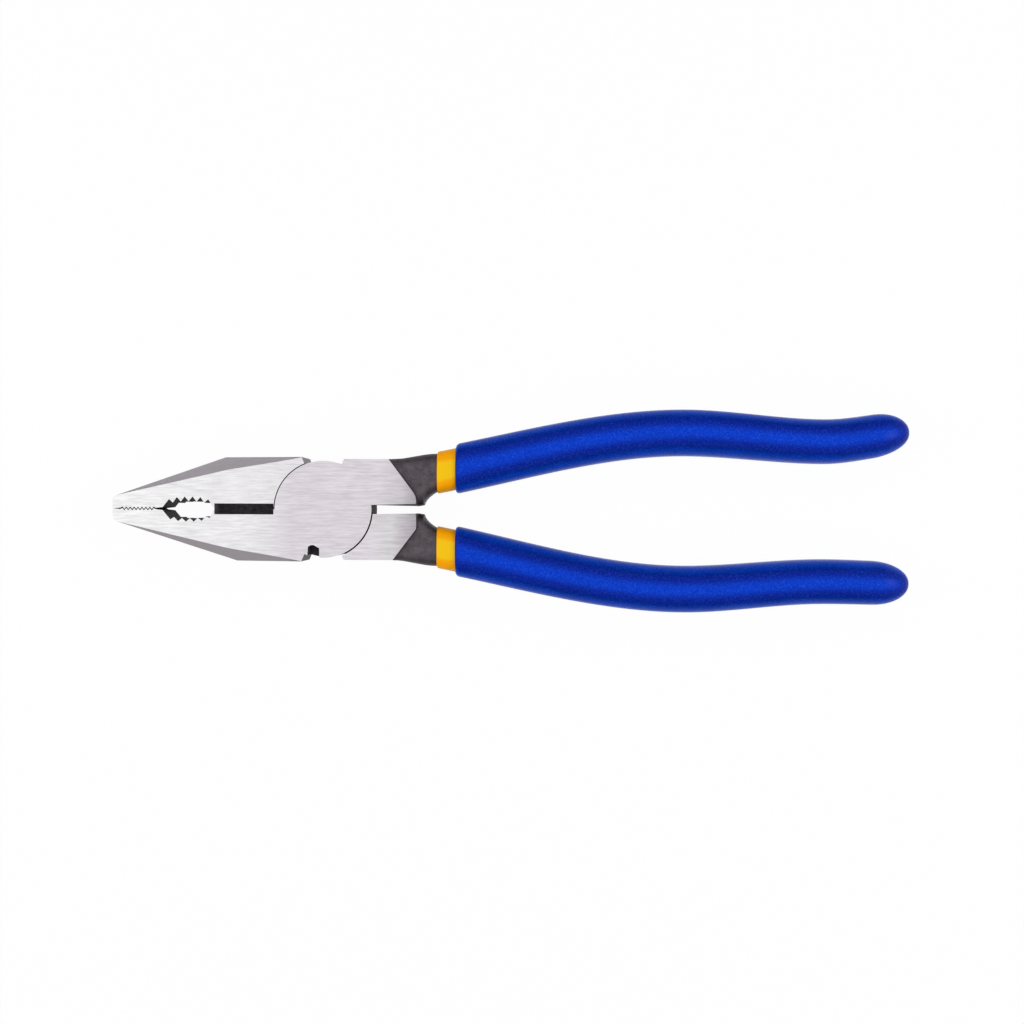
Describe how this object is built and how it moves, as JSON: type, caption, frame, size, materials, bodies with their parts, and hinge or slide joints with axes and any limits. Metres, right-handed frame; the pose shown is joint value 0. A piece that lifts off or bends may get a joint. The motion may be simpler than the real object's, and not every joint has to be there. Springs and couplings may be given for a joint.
{
  "type": "combination pliers",
  "caption": "Combination pliers: two forged halves on a flush rivet, with serrated jaws, a toothed pipe grip, cutters and handles dipped in a yellow and a blue coat of vinyl.",
  "frame": {"origin": "on the pivot axis, in the rear ground face of the head", "axes": "+X along the closed tool toward the handles, jaws toward -X, +Z along the pivot axis out of the front face of the head, +Y across the tool toward the upper handle"},
  "size_m": [0.2032, 0.0522, 0.0124],
  "materials": {
    "forged_steel": "ground and satin on the head and jaws, dark oxide on the necks and in the slots",
    "rivet_steel": "ground flush and satin",
    "yellow_vinyl": "dipped vinyl, satin",
    "blue_vinyl": "dipped vinyl, satin with a fine grain"
  },
  "bodies": {
    "front": {"front_half": "forged_steel", "pivot_rivet": "rivet_steel", "upper_inner_sleeve": "yellow_vinyl", "upper_grip": "blue_vinyl"},
    "rear": {"rear_half": "forged_steel", "lower_inner_sleeve": "yellow_vinyl", "lower_grip": "blue_vinyl"}
  },
  "joints": [
    {"name": "jaw_pivot", "type": "hinge", "parent": "front", "child": "rear", "pos_m": [0, 0, 0.00575], "axis": [0, 0, -1], "range_deg": [0, 42]}
  ]
}
